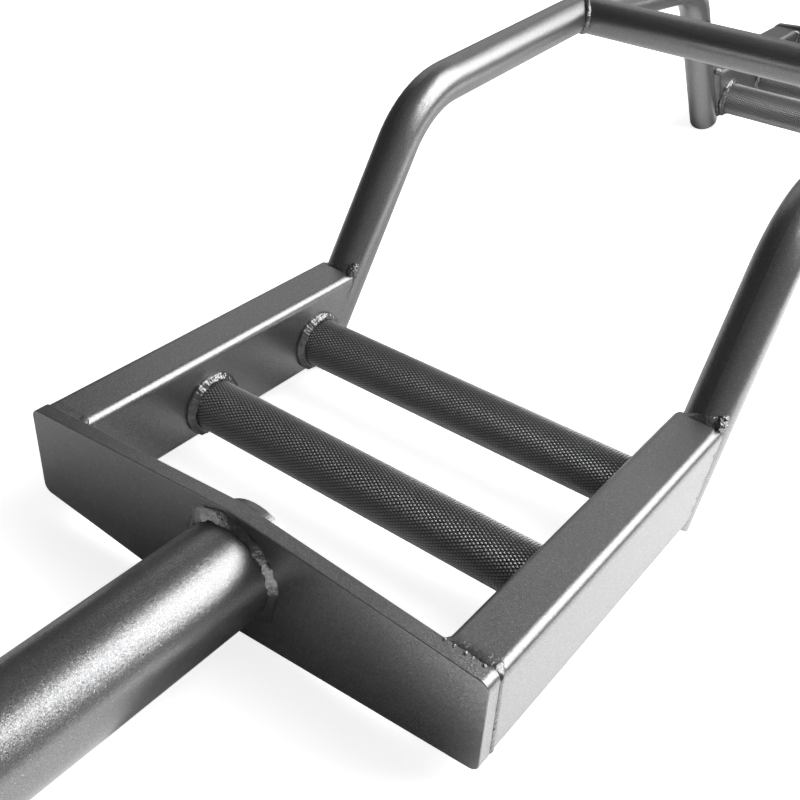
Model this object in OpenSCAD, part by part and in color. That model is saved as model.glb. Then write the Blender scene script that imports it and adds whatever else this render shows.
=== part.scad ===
// Cambered multi-grip bar for strength training: two welded grip boxes joined by a pair of
// bent arch tubes, with a 50 mm shaft on each side that carries a collar and a loading sleeve.
// X runs along the bar, Z points up. The origin is on the floor, under the middle of the bar.

/* [Frame boxes] */
// Length of the frame over the outer faces of both end plates
frame_l = 998; // [940:2:1060]
// Width of the frame over the outer faces of the rails
frame_w = 275; // [240:1:310]
// Distance between the inner and the outer handle of one box, centre to centre
handle_spacing = 90; // [70:1:105]
// Distance from the outer handle's centre to the end plate's outer face
handle_inset = 95; // [80:1:110]
// How far the handles' axes lie below the middle of the rails
handle_drop = 7.5; // [0:0.5:9]
// Diameter of the knurled handles
handle_d = 30; // [25:0.5:33]
// Wall of the handle tubes
handle_wall = 4; // [2:0.5:6]

/* [Rails] */
// Height of the rectangular rail tube
rail_h = 50.5; // [46:0.5:56]
// Width of the rectangular rail tube
rail_w = 28.5; // [24:0.5:34]
// Wall of the rail tube
rail_wall = 3; // [2:0.5:4]
// Outer corner radius of the rail tube
rail_r = 5; // [3.5:0.5:7]
// How far the cut end of a rail laps round the leg at its foot
foot_lap = 8; // [5:0.5:10]

/* [End plates] */
// Thickness of the end plates
plate_t = 8; // [6:0.5:12]
// Height of an end plate in the middle, at the shaft
plate_mid_h = 73; // [71:0.5:78]
// How much taller than the rails an end plate is at its two ends
plate_lip = 0.75; // [0:0.25:3]
// Radius of the rounded corners at the ends of the plate
plate_r = 5; // [3:0.5:8]

/* [Arch] */
// Outer diameter of the arch tubes and of the cross tube
tube_d = 26.5; // [22:0.5:28]
// Wall of the arch tubes and of the cross tube
tube_wall = 3; // [2:0.5:4]
// Height of the arch tubes' centreline at the apex, above the bottom of the rails
arch_rise = 155.5; // [130:0.5:185]
// Distance from the middle of the bar to a leg's axis, at the bottom of the rails
leg_x = 297; // [270:1:310]
// Lean of the legs from upright
leg_lean = 33.2; // [25:0.2:38]
// Slope of the roof from the knees up to the apex
roof_slope = 4.1; // [2:0.1:6]
// Centreline bend radius of the knees
knee_r = 65; // [50:1:90]
// Centreline bend radius of the shallow bend at the apex
apex_r = 300; // [250:5:500]
// How far a leg's end stands below the bottom of the rails, on its axis
foot_drop = 5; // [4:0.5:8]
// Thickness of the discs that close the legs' ends
foot_cap_t = 3; // [2:0.5:5]

/* [Shafts and sleeves] */
// Outer diameter of the shaft where it rests in a rack
shaft_d = 50; // [46:0.5:52]
// Wall of the shaft tube
shaft_wall = 4.5; // [3:0.5:7]
// Depth that the outer end is turned down by, so that weight plates slide on it
sleeve_turn = 0.25; // [0.1:0.05:1]
// Height of the shaft's axis above the middle of the rails
shaft_rise = 3.5; // [0:0.5:5]
// How far the shaft stands out of the plate's inner face
stub_l = 10; // [8:0.5:14]
// Clearance all round the shaft in the end plate and in the collar
shaft_gap = 0.1; // [0.05:0.05:0.2]
// Length of bare shaft between an end plate and its collar, for the rack
rack_l = 156; // [130:1:200]
// Length of the loading sleeve outside the collar
sleeve_l = 380; // [250:5:430]
// Chamfer at the sleeve's mouth
sleeve_chamfer = 1.5; // [0.5:0.5:2]
// Outer diameter of the collars
collar_d = 76; // [64:1:78]
// Thickness of the collars
collar_t = 12; // [8:0.5:20]
// Chamfer on the collars' outer edges
collar_chamfer = 1.5; // [0.5:0.5:3]

/* [End caps] */
// Width of the bare tube end that shows round the end cap
cap_step = 0.25; // [0.1:0.05:1]
// Thickness of the end cap's face at its rim
cap_t = 3; // [2:0.5:5]
// Rounding of the end cap's rim
cap_r = 1.5; // [0.5:0.5:2]
// Length of the end cap's ribbed plug inside the tube
cap_plug_l = 18; // [10:1:30]
// How far the plug's ribs stand out of its core
cap_rib_h = 1.2; // [0.6:0.2:2]
// Number of ribs round the plug
cap_ribs = 3; // [2:1:5]

/* [Welds] */
// Leg length of the fillet weld round a handle
handle_weld = 4.5; // [2:0.5:5]
// Leg length of the fillet weld round a shaft on the plate's outer face
shaft_weld = 6; // [3:0.5:7]
// Leg length of the fillet weld round the shaft's stub on the plate's inner face
stub_weld = 6; // [3:0.5:7]
// Leg length of the fillet weld behind a collar
collar_weld = 5; // [3:0.5:7]
// Bead width of the weld round a rail's end, at the plate and at the leg
rail_weld = 3; // [2:0.5:4]
// Bead width of the weld round the cross tube's ends
saddle_weld = 3.5; // [2:0.5:5]

/* [Hidden] */
$fn = 64;
// Steps that a full turn of a bend would have
bend_fn = 240;

coat = "dimgray";
knurl = "#3c3c3e";
bead = "gray";
plastic = "#1c1c1e";

// Cutters run this far past the face that they open
over = 1;

tube_r = tube_d / 2;
// A leg's end is cut square, so its outer rim is the lowest point of the bar
rail_z = foot_drop + tube_r * sin(leg_lean);
rail_mid_z = rail_z + rail_h / 2;
handle_z = rail_mid_z - handle_drop;
shaft_z = rail_mid_z + shaft_rise;
apex_z = rail_z + arch_rise;

plate_x = frame_l / 2;
plate_in_x = plate_x - plate_t;
rail_y = frame_w / 2 - rail_w / 2;
rail_in_y = frame_w / 2 - rail_w;
handle_out_x = plate_x - handle_inset;
handle_in_x = handle_out_x - handle_spacing;

// The legs are flush with the outer faces of the rails
arch_y = frame_w / 2 - tube_r;
foot_x = leg_x + foot_drop * tan(leg_lean);
foot_z = rail_z - foot_drop;
// The straight lines of the roof meet this high at the middle, above the rounded apex
roof_top_z = apex_z + apex_r * (1 / cos(roof_slope) - 1);
knee_turn = 90 - roof_slope - leg_lean;
knee_tangent = knee_r * tan(knee_turn / 2);
foot_to_knee = (roof_top_z - foot_z - foot_x * tan(roof_slope))
    / (cos(leg_lean) - sin(leg_lean) * tan(roof_slope));
leg_l = foot_to_knee - knee_tangent;
knee_x = foot_x - foot_to_knee * sin(leg_lean);
roof_l = knee_x / cos(roof_slope) - knee_tangent - apex_r * tan(roof_slope);

// A rail's end is cut so that it touches the leg at the top and laps round it at the foot
end_low_x = leg_x + foot_lap;
end_top_x = leg_x - rail_h * tan(leg_lean) + tube_r / cos(leg_lean);
end_lean = atan((end_low_x - end_top_x) / rail_h);

// The saddles' tips stop short of the arch tubes' axes, since a feather edge would burn away
saddle_tip = 2;
cross_l = 2 * (arch_y - saddle_tip);

bore_r = shaft_d / 2 - shaft_wall;
sleeve_r = shaft_d / 2 - sleeve_turn;
collar_in_x = plate_x + rack_l;
sleeve_x = collar_in_x + collar_t;
sleeve_end_x = sleeve_x + sleeve_l;

// Rectangle with true round corners, centred
module rounded_rect(w, h, r) {
    square([w - 2 * r, h], center = true);
    square([w, h - 2 * r], center = true);
    for (x = [-1, 1], y = [-1, 1])
        translate([x * (w / 2 - r), y * (h / 2 - r)]) circle(r);
}

// Copies its children to the right side as they are, or to the left side mirrored
module side(s) {
    if (s > 0) children();
    else mirror([1, 0, 0]) children();
}

// Turns a shape drawn along Z so that it lies along +X, centred on the shaft's axis
module on_shaft(x) {
    translate([x, 0, shaft_z]) rotate([0, 90, 0]) children();
}

// Fillet weld of triangular section round a bar of radius r, on a face at z = 0
module fillet_ring(r, leg) {
    rotate_extrude() polygon([[r, 0], [r + leg, 0], [r, leg]]);
}

// End plate: a flat hexagon, tallest at the shaft, with rounded corners and the shaft's hole
module end_plate(s) {
    end_y = frame_w / 2;
    end_z = rail_h / 2 + plate_lip;
    mid_z = plate_mid_h / 2;
    color(coat) side(s)
        difference() {
            translate([plate_in_x, 0, rail_mid_z]) rotate([90, 0, 90]) linear_extrude(plate_t)
                offset(plate_r) offset(delta = -plate_r)
                    polygon([
                        [0, mid_z], [end_y, end_z], [end_y, -end_z],
                        [0, -mid_z], [-end_y, -end_z], [-end_y, end_z]
                    ]);
            on_shaft(plate_in_x - over)
                cylinder(r = shaft_d / 2 + shaft_gap, h = plate_t + 2 * over);
        }
}

// What a rail's slanting end cut takes away, towards the middle of the bar
module beyond_cut() {
    reach = 2 * frame_w;
    translate([end_low_x, 0, rail_z]) rotate([0, -end_lean, 0])
        translate([-reach, -reach / 2, -reach / 2]) cube(reach);
}

// The rail's outline, larger all round by grow, drawn out from the end plate past the leg
module rail_bar(grow) {
    translate([plate_in_x, rail_y, rail_mid_z]) rotate([90, 0, -90])
        linear_extrude(plate_in_x - end_top_x + tube_d)
            rounded_rect(rail_w + 2 * grow, rail_h + 2 * grow, rail_r + grow);
}

// Moves its children to the end of a bend that starts along +Z and turns towards -X
module after_bend(turn, r) {
    translate([-r, 0, 0]) rotate([0, -turn, 0]) translate([r, 0, 0]) children();
}

// Straight stretch of round bar along +Z, with its children carried on from its end
module straight(d, length) {
    cylinder(d = d, h = length);
    translate([0, 0, length]) children();
}

// Bend of round bar, drawn a little long and cut square where its children carry on
module bend(d, turn, r) {
    difference() {
        translate([-r, 0, 0]) rotate([90, 0, 0])
            rotate_extrude(angle = turn + 1, $fn = bend_fn)
                translate([r, 0]) circle(d = d, $fn = 64);
        after_bend(turn, r) translate([-d, -d, 0]) cube(2 * d);
    }
    after_bend(turn, r) children();
}

// Frame at the top of the arch, running outwards and turning down
module at_apex() {
    translate([0, 0, apex_z]) rotate([0, 90, 0]) rotate([0, 0, 180]) children();
}

// Frame at a leg's upper end, where the knee's bend stops
module at_leg() {
    at_apex() after_bend(roof_slope, apex_r) translate([0, 0, roof_l])
        after_bend(knee_turn, knee_r) children();
}

// The whole bent bar of diameter d, worked from the apex out to both feet
module arch_bar(d, past_foot) {
    for (s = [-1, 1]) side(s)
        at_apex() bend(d, roof_slope, apex_r) straight(d, roof_l)
            bend(d, knee_turn, knee_r) straight(d, leg_l + past_foot);
}

// A leg as a plain round bar that runs on past its foot, to notch the rail that it meets
module leg_bar() {
    translate([0, arch_y, 0]) at_leg() cylinder(d = tube_d, h = leg_l + tube_d);
}

// Rail: rectangular tube from the end plate to the leg, its end notched round the leg
module rail(s, front) {
    color(coat) side(s) mirror([0, front ? 1 : 0, 0])
        difference() {
            rail_bar(0);
            rail_bar(-rail_wall);
            beyond_cut();
            leg_bar();
        }
}

// Handle: round tube across the box, between the inner faces of the two rails
module handle(s, x) {
    color(knurl) side(s)
        translate([x, rail_in_y, handle_z]) rotate([90, 0, 0])
            difference() {
                cylinder(d = handle_d, h = 2 * rail_in_y);
                translate([0, 0, -over])
                    cylinder(d = handle_d - 2 * handle_wall, h = 2 * rail_in_y + 2 * over);
            }
}

// Arch tube: one tube with a bend at each knee and a shallow one at the apex
module arch_tube(y) {
    color(coat) translate([0, y, 0])
        difference() {
            arch_bar(tube_d, 0);
            arch_bar(tube_d - 2 * tube_wall, over);
        }
}

// Discs that close the legs' lower ends, set flush inside the tube
module arch_foot_caps() {
    color(coat)
        for (s = [-1, 1], y = [-arch_y, arch_y])
            side(s) translate([0, y, 0]) at_leg() translate([0, 0, leg_l - foot_cap_t])
                cylinder(d = tube_d - 2 * tube_wall, h = foot_cap_t);
}

// Straight round bar along Y, centred under the apexes
module cross_bar(d, length) {
    translate([0, length / 2, apex_z]) rotate([90, 0, 0]) cylinder(d = d, h = length);
}

// The shallow bend at the top of both arch tubes, as plain bars
module apex_bars(d) {
    for (y = [-arch_y, arch_y])
        translate([0, y, apex_z - apex_r]) rotate([90, 0, 0]) rotate([0, 0, 90 - roof_slope])
            rotate_extrude(angle = 2 * roof_slope, $fn = bend_fn)
                translate([apex_r, 0]) circle(d = d, $fn = 64);
}

// Cross tube: joins the two apexes, each end saddled on its arch tube
module cross_tube() {
    color(coat)
        difference() {
            cross_bar(tube_d, cross_l);
            cross_bar(tube_d - 2 * tube_wall, cross_l + 2 * over);
            apex_bars(tube_d);
        }
}

// Shaft: one tube through the end plate, turned down outside the collar as a loading sleeve
module shaft_tube(s) {
    length = sleeve_end_x - plate_in_x + stub_l;
    color(coat) side(s) on_shaft(plate_in_x - stub_l)
        rotate_extrude() polygon([
            [bore_r, 0],
            [shaft_d / 2, 0],
            [shaft_d / 2, length - sleeve_l],
            [sleeve_r, length - sleeve_l],
            [sleeve_r, length - sleeve_chamfer],
            [sleeve_r - sleeve_chamfer, length],
            [bore_r, length]
        ]);
}

// Collar: ring that stops the weight plates
module collar(s) {
    ring_r = shaft_d / 2 + shaft_gap;
    color(coat) side(s) on_shaft(collar_in_x)
        rotate_extrude() polygon([
            [ring_r, 0],
            [collar_d / 2 - collar_chamfer, 0],
            [collar_d / 2, collar_chamfer],
            [collar_d / 2, collar_t - collar_chamfer],
            [collar_d / 2 - collar_chamfer, collar_t],
            [ring_r, collar_t]
        ]);
}

// End cap: round face with a ribbed plug that grips the sleeve's bore
module end_cap(s) {
    face_r = sleeve_r - sleeve_chamfer - cap_step;
    rib_pitch = cap_plug_l / (cap_ribs + 1);
    rib_w = rib_pitch / 3;
    color(plastic) side(s) on_shaft(sleeve_end_x) {
        rotate_extrude() {
            square([face_r - cap_r, cap_t]);
            square([face_r, cap_t - cap_r]);
            intersection() {
                translate([face_r - cap_r, cap_t - cap_r]) circle(cap_r);
                square([face_r, cap_t]);
            }
        }
        translate([0, 0, -cap_plug_l]) cylinder(r = bore_r - cap_rib_h, h = cap_plug_l);
        for (i = [1:cap_ribs])
            translate([0, 0, -i * rib_pitch - rib_w / 2]) cylinder(r = bore_r, h = rib_w);
    }
}

// Welds round the shaft on both faces of the end plate
module shaft_welds(s) {
    color(bead) side(s) {
        on_shaft(plate_x) fillet_ring(shaft_d / 2, shaft_weld);
        on_shaft(plate_in_x) mirror([0, 0, 1])
            fillet_ring(shaft_d / 2, stub_weld);
    }
}

// Weld round the shaft on the inner face of the collar
module collar_weld(s) {
    color(bead) side(s) on_shaft(collar_in_x) mirror([0, 0, 1])
        fillet_ring(shaft_d / 2, collar_weld);
}

// Welds round both rails' outer ends, in the corner with the end plate
module rail_welds(s) {
    color(bead) side(s)
        for (front = [0, 1]) mirror([0, front, 0])
            difference() {
                intersection() {
                    rail_bar(rail_weld / 2);
                    translate([plate_in_x - rail_weld, 0, 0])
                        cube([rail_weld, frame_w, 2 * rail_mid_z]);
                }
                rail_bar(0);
            }
}

// Welds round the ends of both handles, kept above the rails' lower edge
module handle_welds(s) {
    color(bead) side(s)
        for (x = [handle_in_x, handle_out_x], y = [-1, 1])
            intersection() {
                translate([x, y * rail_in_y, handle_z]) rotate([90 * y, 0, 0])
                    fillet_ring(handle_d / 2, handle_weld);
                translate([0, -rail_in_y, rail_z]) cube([plate_x, 2 * rail_in_y, rail_h]);
            }
}

// Welds that fill the corner between each rail's cut end and the leg, clear of the handle's weld
module foot_welds(s) {
    color(bead) side(s)
        for (front = [0, 1]) mirror([0, front, 0])
            difference() {
                intersection() {
                    rail_bar(rail_weld / 2);
                    translate([end_low_x, rail_y, rail_z]) rotate([0, -end_lean, 0])
                        cube([2 * rail_weld, 2 * rail_w, 3 * rail_h], center = true);
                }
                difference() {
                    rail_bar(0);
                    beyond_cut();
                }
                rail_bar(-rail_wall);
                leg_bar();
                translate([handle_in_x, rail_in_y, handle_z]) rotate([90, 0, 0])
                    cylinder(r = handle_d / 2 + handle_weld, h = rail_w);
            }
}

// Welds round the saddled ends of the cross tube
module cross_tube_welds() {
    color(bead)
        difference() {
            intersection() {
                cross_bar(tube_d + saddle_weld, cross_l);
                apex_bars(tube_d + 2 * saddle_weld);
            }
            apex_bars(tube_d);
            cross_bar(tube_d, cross_l + 2 * over);
        }
}

end_plate(-1);  // left_end_plate
end_plate(1);  // right_end_plate
rail(-1, true);  // left_front_rail
rail(-1, false);  // left_rear_rail
rail(1, true);  // right_front_rail
rail(1, false);  // right_rear_rail
handle(-1, handle_out_x);  // left_outer_handle
handle(-1, handle_in_x);  // left_inner_handle
handle(1, handle_in_x);  // right_inner_handle
handle(1, handle_out_x);  // right_outer_handle
arch_tube(-arch_y);  // front_arch_tube
arch_tube(arch_y);  // rear_arch_tube
cross_tube();
arch_foot_caps();
shaft_tube(-1);  // left_shaft_tube
shaft_tube(1);  // right_shaft_tube
collar(-1);  // left_collar
collar(1);  // right_collar
end_cap(-1);  // left_end_cap
end_cap(1);  // right_end_cap
shaft_welds(-1);  // left_shaft_welds
shaft_welds(1);  // right_shaft_welds
collar_weld(-1);  // left_collar_weld
collar_weld(1);  // right_collar_weld
rail_welds(-1);  // left_rail_welds
rail_welds(1);  // right_rail_welds
handle_welds(-1);  // left_handle_welds
handle_welds(1);  // right_handle_welds
foot_welds(-1);  // left_foot_welds
foot_welds(1);  // right_foot_welds
cross_tube_welds();
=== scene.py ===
"""Looks of a cambered multi-grip bar: knurled grips, weld beads, powder coat and a plain studio.

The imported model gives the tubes, rails, shafts and collars, which keep their own meshes and get
the coat. The grips, the end plates and the weld beads are modelled here, each in the space of the
solid that it stands for. Lengths are in metres, and the piece stands on the floor at z = 0.
"""

import logging
import math
from collections.abc import Callable, Iterator, Sequence
from contextlib import contextmanager
from dataclasses import dataclass
from enum import Enum

import bpy
from bpy.types import Material, Node, Object
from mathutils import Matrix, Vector, noise


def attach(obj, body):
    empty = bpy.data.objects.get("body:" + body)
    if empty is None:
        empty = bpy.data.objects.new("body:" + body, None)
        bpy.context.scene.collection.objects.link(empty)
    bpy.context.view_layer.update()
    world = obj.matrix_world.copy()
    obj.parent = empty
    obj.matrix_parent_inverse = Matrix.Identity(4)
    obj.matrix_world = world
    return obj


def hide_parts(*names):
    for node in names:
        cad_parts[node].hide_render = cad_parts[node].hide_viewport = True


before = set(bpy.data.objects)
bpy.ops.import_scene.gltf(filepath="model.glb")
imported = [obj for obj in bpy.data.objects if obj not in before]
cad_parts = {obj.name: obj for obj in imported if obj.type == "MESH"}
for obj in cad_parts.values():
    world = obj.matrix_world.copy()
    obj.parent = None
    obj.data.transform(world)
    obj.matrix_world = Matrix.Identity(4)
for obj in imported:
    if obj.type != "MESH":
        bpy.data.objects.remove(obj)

log = logging.getLogger("cambered_bar")

MM = 0.001
BODY = "root"
UNIT = (0.0, 1.0)
Socket = bpy.types.NodeSocket
Tree = bpy.types.ShaderNodeTree
Value = float | Sequence[float] | Socket
Inputs = dict[str | int, Value]


class Side(Enum):
    """The two mirrored halves of the bar."""

    LEFT = -1
    RIGHT = 1

    @property
    def word(self) -> str:
        """The side's name as the nodes write it."""
        return self.name.lower()


class Slot(Enum):
    """The record's material slots."""

    COAT = "powder_coat"
    KNURL = "coated_knurl"
    WELD = "coated_weld"
    CAP = "cap_plastic"


@dataclass(frozen=True)
class BarPlan:
    """The bar's sizes that the modelled pieces are seated by."""

    plate_out_x: float = 499 * MM
    plate_in_x: float = 491 * MM
    plate_end_z: float = 63.505 * MM
    plate_fall: float = 0.0755
    collar_in_x: float = 655 * MM
    frame_half_w: float = 137.5 * MM
    rail_y: float = 123.25 * MM
    rail_in_y: float = 109 * MM
    rail_low_z: float = 12.2553 * MM
    rail_h: float = 50.5 * MM
    rail_w: float = 28.5 * MM
    rail_r: float = 5 * MM
    handle_xs: tuple[float, float] = (314 * MM, 404 * MM)
    handle_z: float = 30.0053 * MM
    handle_r: float = 15 * MM
    knurl_depth: float = 0.66 * MM
    shaft_z: float = 41.0053 * MM
    shaft_r: float = 25 * MM
    arch_y: float = 124.25 * MM
    tube_r: float = 13.25 * MM
    apex_z: float = 167.7553 * MM
    leg_x: float = 297 * MM
    leg_lean: float = math.radians(33.2)
    end_low_x: float = 305 * MM
    end_top_x: float = 279.785 * MM


PLAN = BarPlan()


# Work at the bench


def clear_selection() -> None:
    """Leave edit mode and deselect everything."""
    if bpy.context.mode != "OBJECT":
        bpy.ops.object.mode_set(mode="OBJECT")
    bpy.ops.object.select_all(action="DESELECT")


def take(*objects: Object) -> None:
    """Select these objects only, and make the first of them active.

    Args:
        objects: The objects to work on.
    """
    clear_selection()
    for obj in objects:
        obj.select_set(True)
    bpy.context.view_layer.objects.active = objects[0]


def named(name: str) -> Object:
    """Name the object that an operator has just made, and return it."""
    bpy.context.view_layer.objects.active.name = name
    return bpy.context.view_layer.objects.active


@contextmanager
def editing(obj: Object, whole: bool = True) -> Iterator[None]:
    """Edit an object's mesh for as long as the block lasts.

    Args:
        obj: The mesh object.
        whole: Whether all of it is selected at first.
    """
    take(obj)
    bpy.ops.object.mode_set(mode="EDIT")
    if whole:
        bpy.ops.mesh.select_all(action="SELECT")
    yield
    bpy.ops.object.mode_set(mode="OBJECT")


def apply_place(obj: Object) -> None:
    """Move an object's place, turn and scale into its mesh."""
    take(obj)
    bpy.ops.object.transform_apply(location=True, rotation=True, scale=True)


def apply_modifier(obj: Object, kind: str, **settings: object) -> None:
    """Add a modifier, set it up and apply it.

    Args:
        obj: The mesh object.
        kind: The modifier's type name.
        settings: Values for the modifier's properties.
    """
    take(obj)
    modifier = obj.modifiers.new(kind.title(), kind)
    for key, value in settings.items():
        setattr(modifier, key, value)
    bpy.ops.object.modifier_apply(modifier=modifier.name)


def displace(obj: Object, name: str, size: float, strength: float) -> None:
    """Push an object's skin in and out by a cloud texture in its own space.

    Args:
        obj: The mesh object.
        name: The texture's name.
        size: Size of the bumps.
        strength: Height from the deepest to the highest of them.
    """
    texture = bpy.data.textures.new(name, "CLOUDS")
    texture.noise_scale = size
    apply_modifier(obj, "DISPLACE", texture=texture, texture_coords="LOCAL", strength=strength)


def merge(obj: Object, distance: float) -> None:
    """Merge doubled vertices and turn all faces outwards.

    Args:
        obj: The mesh object.
        distance: Vertices closer than this become one.
    """
    with editing(obj):
        bpy.ops.mesh.remove_doubles(threshold=distance)
        bpy.ops.mesh.normals_make_consistent(inside=False)


def select_points(obj: Object, test: Callable[[Vector], bool]) -> None:
    """Select the vertices of an object that pass a test, from object mode.

    Args:
        obj: The mesh object.
        test: Takes a vertex's place and says whether it is selected.
    """
    for part in (*obj.data.polygons, *obj.data.edges):
        part.select = False
    for vertex in obj.data.vertices:
        vertex.select = test(vertex.co)


# Finishes


class NodePen:
    """Writes shader nodes into one tree, left to right."""

    gap = 220

    def __init__(self, tree: bpy.types.NodeTree) -> None:
        """Empty a tree and start on it.

        Args:
            tree: The node tree to write into.
        """
        self.tree = tree
        self.left = 0
        tree.nodes.clear()

    def add(self, kind: str, inputs: Inputs | None = None, **settings: object) -> Node:
        """Add a node and feed it.

        Args:
            kind: The node's type name.
            inputs: An output to join or a constant, for each input that isn't left as it is.
            settings: Values for the node's own properties.

        Returns:
            The new node.
        """
        node = self.tree.nodes.new(kind)
        node.location = (self.left, 0)
        self.left += self.gap
        for key, value in settings.items():
            setattr(node, key, value)
        for label, value in (inputs or {}).items():
            if isinstance(value, Socket):
                self.tree.links.new(value, node.inputs[label])
            else:
                node.inputs[label].default_value = value
        return node

    def maths(self, operation: str, *values: Value) -> Socket:
        """Work out a sum of outputs and constants."""
        inputs = dict(enumerate(values))
        return self.add("ShaderNodeMath", inputs, operation=operation).outputs["Value"]

    def vectors(self, operation: str, out: str, *values: Value, **others: Value) -> Socket:
        """Work out a sum of vectors, and give the output of that name."""
        inputs = dict(enumerate(values)) | others
        return self.add("ShaderNodeVectorMath", inputs, operation=operation).outputs[out]

    def remap(
        self, value: Value, start: Sequence[Value], end: Sequence[Value], kind: str = "LINEAR"
    ) -> Socket:
        """Map one range of values to another.

        Args:
            value: The value to map.
            start: Both ends of the range that it comes from.
            end: Both ends of the range that it goes to.
            kind: The type name of the way between the ends.

        Returns:
            The mapped value.
        """
        labels = ("Value", "From Min", "From Max", "To Min", "To Max")
        inputs = dict(zip(labels, (value, *start, *end)))
        return self.add("ShaderNodeMapRange", inputs, interpolation_type=kind).outputs["Result"]


def open_group(name: str, inputs: dict[str, float], outputs: dict[str, str]) -> NodePen:
    """Make an empty shared group.

    Args:
        name: The group's name.
        inputs: Its inputs, all numbers, with their starting values.
        outputs: Its outputs, with their socket types.

    Returns:
        A pen on the group's tree.
    """
    group = bpy.data.node_groups.new(name, "ShaderNodeTree")
    face = group.interface
    for label, value in inputs.items():
        socket = face.new_socket(label, in_out="INPUT", socket_type="NodeSocketFloat")
        socket.default_value = value
    for label, kind in outputs.items():
        face.new_socket(label, in_out="OUTPUT", socket_type=f"NodeSocket{kind}")
    return NodePen(group)


def open_material(name: str) -> tuple[Material, NodePen]:
    """Make an empty material.

    Args:
        name: The material's name.

    Returns:
        The material, and a pen on its tree.
    """
    material = bpy.data.materials.new(name)
    material.use_nodes = True
    return material, NodePen(material.node_tree)


@dataclass(frozen=True)
class FlakeLayer:
    """The shared group for a metallic powder coat: tilted flakes over an orange peel."""

    mean: float = 0.5
    peel_detail: float = 2.0
    spark_share: tuple[float, float] = (0.984, 0.992)
    cloud_scale: float = 26.0
    cloud_detail: float = 3.0
    tone_drift: tuple[float, float] = (0.93, 1.07)
    gloss_drift: tuple[float, float] = (-0.04, 0.04)

    def make(self, knobs: dict[str, float]) -> Tree:
        """Build the group.

        Args:
            knobs: The group's inputs, with their starting values.

        Returns:
            The group, with a Tone to multiply the colour by, a Gloss to add to the roughness and
            a Normal.
        """
        outputs = {"Tone": "Float", "Gloss": "Float", "Normal": "Vector"}
        pen = open_group("Metal flake coat", knobs, outputs)
        entry = pen.add("NodeGroupInput").outputs
        place = pen.add("ShaderNodeTexCoord").outputs["Object"]
        cells = {"Vector": place, "Scale": entry["Flake Scale"]}
        flake = pen.add("ShaderNodeTexVoronoi", cells).outputs["Color"]
        centred = pen.vectors("SUBTRACT", "Vector", flake, [self.mean] * 3)
        tilted = pen.vectors("SCALE", "Vector", centred, Scale=entry["Flake Tilt"])
        skin = {"Vector": place, "Scale": entry["Peel Scale"], "Detail": self.peel_detail}
        peel = pen.add("ShaderNodeTexNoise", skin).outputs["Fac"]
        relief = {"Distance": entry["Peel Height"], "Height": peel, "Strength": 1.0}
        bumped = pen.add("ShaderNodeBump", relief).outputs["Normal"]
        normal = pen.vectors("ADD", "Vector", bumped, tilted)

        chance = pen.add("ShaderNodeSeparateColor", {"Color": flake}).outputs
        offset = pen.maths("SUBTRACT", chance["Red"], self.mean)
        scaled = pen.maths("MULTIPLY", offset, entry["Flake Tone"])
        spark = pen.remap(chance["Green"], self.spark_share, (0.0, entry["Spark"]))
        glitter = pen.maths("ADD", scaled, spark)
        clouds = {"Vector": place, "Scale": self.cloud_scale, "Detail": self.cloud_detail}
        cloud = pen.add("ShaderNodeTexNoise", clouds).outputs["Fac"]
        leave = {
            "Tone": pen.maths("ADD", glitter, pen.remap(cloud, UNIT, self.tone_drift)),
            "Gloss": pen.remap(cloud, UNIT, self.gloss_drift),
            "Normal": pen.vectors("NORMALIZE", "Vector", normal),
        }
        pen.add("NodeGroupOutput", leave)
        return pen.tree


@dataclass(frozen=True)
class GripWear:
    """The group that paints shade into a knurl's grooves and a highlight on its tips."""

    # Groove darkens the grooves as painted shade; Tip brightens the tips as a painted highlight.
    groove: float = 0.36
    tip: float = 1.42

    def make(self) -> Tree:
        """Build the group.

        Returns:
            The group, with a Painted Light output that is low in the grooves as painted shade and
            high on the tips as a painted highlight.
        """
        knobs = {"Groove": self.groove, "Tip": self.tip}
        pen = open_group("Grip wear", knobs, {"Wear": "Float"})
        entry = pen.add("NodeGroupInput").outputs
        place = pen.add("ShaderNodeTexCoord").outputs["Object"]
        axes = pen.add("ShaderNodeSeparateXYZ", {"Vector": place}).outputs
        inner_x, outer_x = PLAN.handle_xs
        along = axes["X"]
        for fold in (0.0, (inner_x + outer_x) / 2, (outer_x - inner_x) / 2):
            along = pen.maths("ABSOLUTE", pen.maths("SUBTRACT", along, fold))
        lift = pen.maths("SUBTRACT", axes["Z"], PLAN.handle_z)
        spoke = pen.add("ShaderNodeCombineXYZ", {"X": along, "Z": lift}).outputs["Vector"]
        radius = pen.vectors("LENGTH", "Value", spoke)
        relief = (PLAN.handle_r - PLAN.knurl_depth, PLAN.handle_r)
        # Painted shade in the grooves and a painted highlight on the tips, by distance from the
        # grip's axis.
        knurl_shading = pen.remap(radius, relief, (entry["Groove"], entry["Tip"]))
        pen.add("NodeGroupOutput", {"Wear": knurl_shading})
        return pen.tree


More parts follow.
